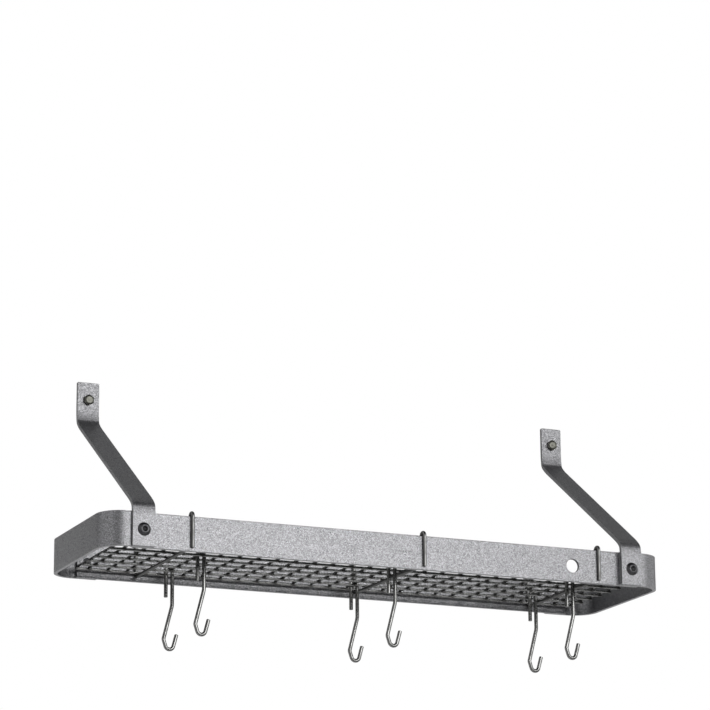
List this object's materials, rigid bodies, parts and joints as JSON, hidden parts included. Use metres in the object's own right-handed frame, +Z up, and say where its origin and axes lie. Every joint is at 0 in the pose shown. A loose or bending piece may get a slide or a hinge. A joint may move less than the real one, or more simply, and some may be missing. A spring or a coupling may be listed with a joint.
{
  "type": "wall pot rack",
  "caption": "Long wall rack of flat steel bar on two slanting strap arms, with a lift-out wire shelf and steel hooks below it for hanging pots and pans.",
  "frame": {"origin": "on the wall plane, midway between the two wall screws", "axes": "X along the wall, to the right as seen from the room; +Y into the wall; +Z up"},
  "size_m": [0.781, 0.2515, 0.354],
  "materials": {
    "hammered_steel": "hammered grey coating, mottled",
    "shelf_wire": "dull grey wire",
    "hanger_rod": "bare steel, satin",
    "hook_steel": "bare steel, satin",
    "black_bolt": "black oxide",
    "olive_screw": "olive-grey plating, dull"
  },
  "bodies": {
    "frame": {"left_end_band": "hammered_steel", "right_end_band": "hammered_steel", "front_rail": "hammered_steel", "rear_rail": "hammered_steel", "left_arm": "hammered_steel", "right_arm": "hammered_steel", "left_hanger": "hanger_rod", "middle_hanger": "hanger_rod", "right_hanger": "hanger_rod", "left_arm_bolt": "black_bolt", "right_arm_bolt": "black_bolt", "left_rear_bolt": "black_bolt", "right_rear_bolt": "black_bolt", "left_wall_screw": "olive_screw", "right_wall_screw": "olive_screw"},
    "shelf": {"shelf_long_wires": "shelf_wire", "shelf_cross_wires": "shelf_wire"},
    "left_rear_hook": {"left_rear_hook": "hook_steel"},
    "left_front_hook": {"left_front_hook": "hook_steel"},
    "middle_rear_hook": {"middle_rear_hook": "hook_steel"},
    "middle_front_hook": {"middle_front_hook": "hook_steel"},
    "right_rear_hook": {"right_rear_hook": "hook_steel"},
    "right_front_hook": {"right_front_hook": "hook_steel"}
  },
  "joints": [
    {"name": "shelf_lift", "type": "slide", "parent": "frame", "child": "shelf", "axis": [0, 0, 1], "range_m": [0, 0.035]},
    {"name": "left_rear_swing", "type": "hinge", "parent": "shelf", "child": "left_rear_hook", "pos_m": [-0.23515, -0.03124, -0.2246], "axis": [0, 1, 0], "range_deg": [-20, 20]},
    {"name": "left_front_swing", "type": "hinge", "parent": "shelf", "child": "left_front_hook", "pos_m": [-0.23515, -0.14682, -0.2246], "axis": [0, 1, 0], "range_deg": [-20, 20]},
    {"name": "middle_rear_swing", "type": "hinge", "parent": "shelf", "child": "middle_rear_hook", "pos_m": [0.02335, -0.03857, -0.2246], "axis": [0, 1, 0], "range_deg": [-20, 20]},
    {"name": "middle_front_swing", "type": "hinge", "parent": "shelf", "child": "middle_front_hook", "pos_m": [0.02335, -0.16064, -0.2246], "axis": [0, 1, 0], "range_deg": [-20, 20]},
    {"name": "right_rear_swing", "type": "hinge", "parent": "shelf", "child": "right_rear_hook", "pos_m": [0.28185, -0.05131, -0.2246], "axis": [0, 1, 0], "range_deg": [-20, 20]},
    {"name": "right_front_swing", "type": "hinge", "parent": "shelf", "child": "right_front_hook", "pos_m": [0.28185, -0.16011, -0.2246], "axis": [0, 1, 0], "range_deg": [-20, 20]}
  ]
}
